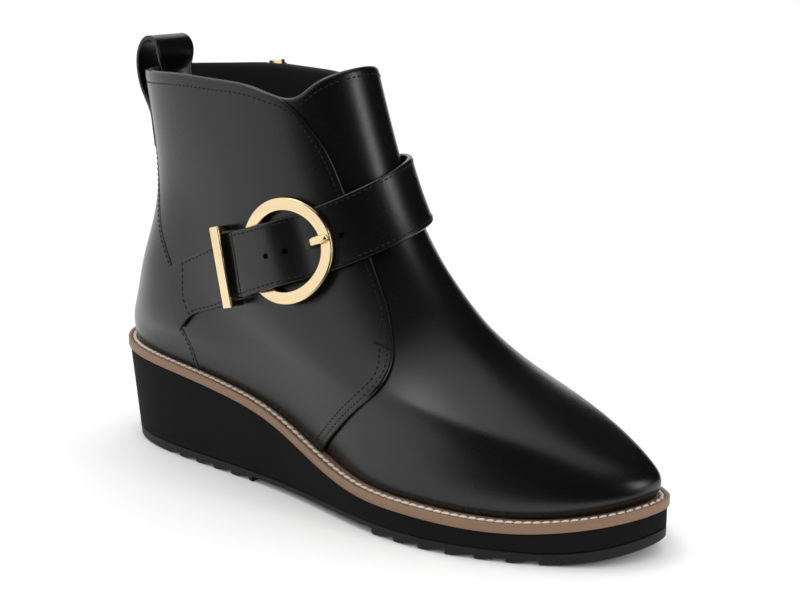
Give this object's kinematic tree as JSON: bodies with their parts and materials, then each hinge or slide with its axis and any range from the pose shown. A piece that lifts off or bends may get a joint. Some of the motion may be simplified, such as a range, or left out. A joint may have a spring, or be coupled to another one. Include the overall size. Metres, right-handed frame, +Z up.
{
  "type": "wedge ankle boot",
  "caption": "Right-foot ankle boot with a wedge sole, stitched welt, instep strap with a round ring buckle, pull loop and inner side zip.",
  "frame": {"origin": "on the floor plane, under the middle of the welt's length and width", "axes": "+X from heel to toe, +Y to the inner side of the foot, +Z up"},
  "size_m": [0.2644, 0.0891, 0.1774],
  "materials": {
    "black_leather": "smooth semi-gloss calf",
    "sock_leather": "matt",
    "tan_welt": "matt, waxed edge",
    "black_rubber": "matt",
    "black_foam": "matt foam",
    "pale_gold": "polished pale gold",
    "zip_cloth": "woven tape"
  },
  "bodies": {
    "boot": {"outsole": "black_rubber", "wedge_midsole": "black_foam", "welt": "tan_welt", "insole": "sock_leather", "upper": "black_leather", "quarter_outer": "black_leather", "quarter_inner": "black_leather", "heel_counter": "black_leather", "strap_long": "black_leather", "strap_short": "black_leather", "buckle_ring": "pale_gold", "buckle_prong": "pale_gold", "buckle_keeper": "pale_gold", "pull_loop": "black_leather", "zip_tape": "zip_cloth", "zip_teeth": "pale_gold", "zip_slider": "pale_gold"},
    "pull_tab": {"zip_pull": "pale_gold"}
  },
  "joints": [
    {"name": "zip_pull_hinge", "type": "hinge", "parent": "boot", "child": "pull_tab", "pos_m": [-0.07545, 0.03467, 0.16311], "axis": [0.9869, 0.1122, 0.116], "range_deg": [0, 150]}
  ]
}
